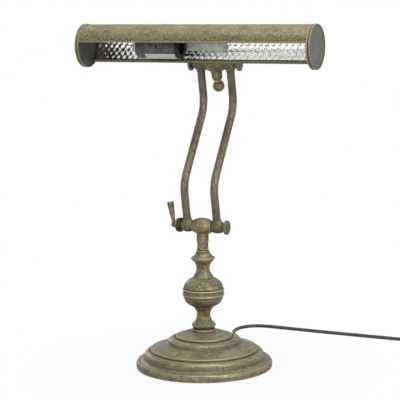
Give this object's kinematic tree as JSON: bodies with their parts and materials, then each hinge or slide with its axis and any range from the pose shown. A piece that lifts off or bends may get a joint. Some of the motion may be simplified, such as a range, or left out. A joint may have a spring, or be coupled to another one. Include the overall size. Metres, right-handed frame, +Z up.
{
  "type": "bankers lamp",
  "caption": "Antique brass desk lamp: trough shade on an elbow, parallel swan-neck arms between clamped pivots, turned column, stepped round base, turn-knob switch.",
  "frame": {"origin": "centre of the base's underside, on the table", "axes": "+Z up, +X to the right along the shade and the pivots, -Y to the front, where the shade opens"},
  "size_m": [0.4405, 0.2995, 0.4126],
  "materials": {
    "aged_brass": "antique, mottled satin",
    "dark_brass": "antique, dark satin",
    "bright_brass": "bright",
    "reflector": "hammered, polished",
    "zinc_steel": "zinc plated",
    "black_plastic": "matt",
    "label": "plain, printed with nothing",
    "weight_iron": "rough",
    "felt": "felt",
    "cord_sheath": "satin"
  },
  "bodies": {
    "base": {"base_shell": "aged_brass", "base_weight": "weight_iron", "felt_pad": "felt", "column_rod": "zinc_steel", "rod_washer": "zinc_steel", "rod_nut": "zinc_steel", "lower_baluster": "aged_brass", "column_ball": "aged_brass", "upper_baluster": "aged_brass", "column_collar": "aged_brass", "pivot_post": "aged_brass", "pivot_hub": "aged_brass", "pivot_bolt": "dark_brass", "cord_gland": "black_plastic", "cord_lead": "cord_sheath", "cord_coil": "cord_sheath", "cord_tail": "cord_sheath", "coil_tie": "black_plastic", "plug_body": "black_plastic", "plug_pins": "bright_brass"},
    "arms": {"left_arm_tube": "aged_brass", "right_arm_tube": "aged_brass", "left_lower_eye": "aged_brass", "right_lower_eye": "aged_brass", "left_upper_eye": "aged_brass", "right_upper_eye": "aged_brass", "cross_bolt": "dark_brass", "cross_nut": "dark_brass", "clamp_washer": "dark_brass"},
    "lever": {"lever_nut": "dark_brass", "lever_handle": "dark_brass"},
    "shade": {"shade_hub": "aged_brass", "shade_elbow": "aged_brass", "elbow_flange": "aged_brass", "elbow_nut": "zinc_steel", "shade_shell": "aged_brass", "reflector": "reflector", "left_end_cap": "aged_brass", "right_end_cap": "aged_brass", "wiring_cover": "zinc_steel", "cover_screws": "zinc_steel", "holder_bracket": "zinc_steel", "lampholder_body": "black_plastic", "lampholder_nut": "zinc_steel", "lampholder_ring": "black_plastic", "lampholder_core": "black_plastic", "lampholder_thread": "bright_brass", "lampholder_contact": "bright_brass", "holder_label": "label", "switch_housing": "aged_brass", "switch_ring": "bright_brass"},
    "knob": {"switch_stem": "zinc_steel", "switch_ball": "aged_brass"}
  },
  "joints": [
    {"name": "arm_tilt", "type": "hinge", "parent": "base", "child": "arms", "pos_m": [0, 0, 0.1716], "axis": [1, 0, 0], "range_deg": [-45, 60]},
    {"name": "lever_turn", "type": "hinge", "parent": "base", "child": "lever", "pos_m": [-0.037, 0, 0.1716], "axis": [1, 0, 0], "range_deg": [-90, 90]},
    {"name": "shade_tilt", "type": "hinge", "parent": "arms", "child": "shade", "pos_m": [0, 0.04191, 0.36314], "axis": [1, 0, 0], "range_deg": [-60, 70]},
    {"name": "switch_turn", "type": "hinge", "parent": "shade", "child": "knob", "pos_m": [0, 0.05217, 0.33495], "axis": [0, 0.342, -0.9397], "continuous": true}
  ]
}
